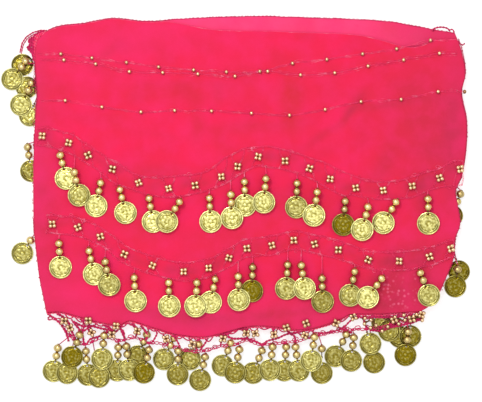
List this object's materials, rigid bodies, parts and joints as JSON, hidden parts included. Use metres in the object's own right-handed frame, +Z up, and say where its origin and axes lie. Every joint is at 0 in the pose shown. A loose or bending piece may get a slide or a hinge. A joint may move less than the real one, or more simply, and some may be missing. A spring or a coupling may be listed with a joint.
{
  "type": "belly dance hip scarf, folded and laid flat",
  "caption": "Pink chiffon hip scarf for belly dance, folded and laid flat, with wavy crochet rows of gold-coloured coins and beads and a beaded coin fringe along its lower edge.",
  "frame": {"origin": "the middle of the whole box, on the surface that the folded scarf lies on", "axes": "+X to the right along the coin rows, +Y away from the fringe towards the top edge, +Z up off the surface"},
  "size_m": [0.3752, 0.3006, 0.0183],
  "materials": {
    "front_chiffon": "sheer hot pink chiffon, soft sheen",
    "back_chiffon": "sheer pink chiffon, lighter where one layer shows",
    "folded_chiffon": "sheer hot pink chiffon",
    "gold_trim": "pale gold-coloured coins and beads, satin",
    "fringe_gold": "olive gold-coloured coins and beads, satin"
  },
  "bodies": {
    "root": {"front_layer": "front_chiffon", "back_layer": "back_chiffon", "folded_layers": "folded_chiffon", "upper_coin_row": "gold_trim", "lower_coin_row": "gold_trim", "fringe": "fringe_gold", "left_upper_dangles": "fringe_gold", "left_middle_dangle": "fringe_gold", "left_lower_dangle": "fringe_gold", "right_upper_dangle": "fringe_gold", "right_lower_dangles": "fringe_gold"}
  },
  "joints": []
}
